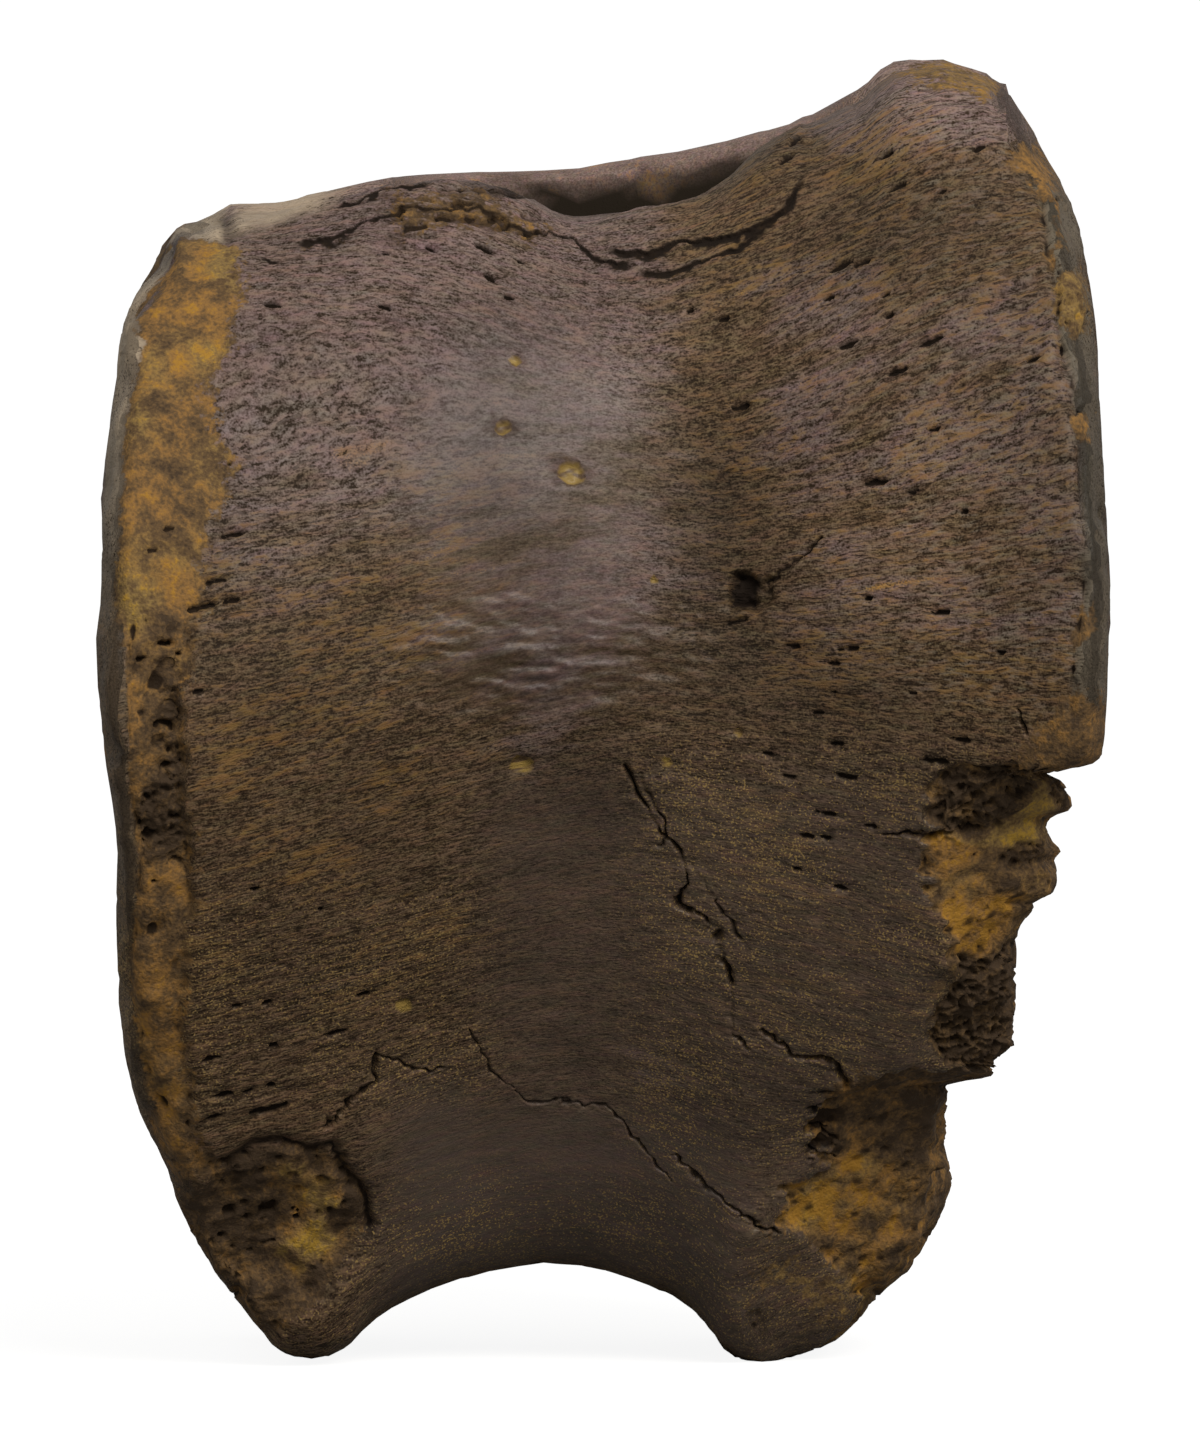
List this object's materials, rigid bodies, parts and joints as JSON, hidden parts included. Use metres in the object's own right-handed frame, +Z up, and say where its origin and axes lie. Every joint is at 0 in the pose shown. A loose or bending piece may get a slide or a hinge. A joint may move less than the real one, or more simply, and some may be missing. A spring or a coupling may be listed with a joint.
{
  "type": "fossil dinosaur vertebra",
  "caption": "Spool-shaped fossil tail vertebra with dished end faces, a waisted body, a broken corner and a canal trough on top.",
  "frame": {"origin": "centre of the bounding box, on the plane of the worn lips that the vertebra stands on", "axes": "+Z up through the canal trough, X along the spine from one end face to the other with the broken end towards +X, the pictured flank faces -Y"},
  "size_m": [0.084, 0.0994, 0.1092],
  "materials": {
    "fossil_bone": "dark brown mineralised bone with a fibrous grain, satin on the smooth flank, matt and spongy where broken, rust and ochre stains"
  },
  "bodies": {
    "root": {"vertebra": "fossil_bone"}
  },
  "joints": []
}
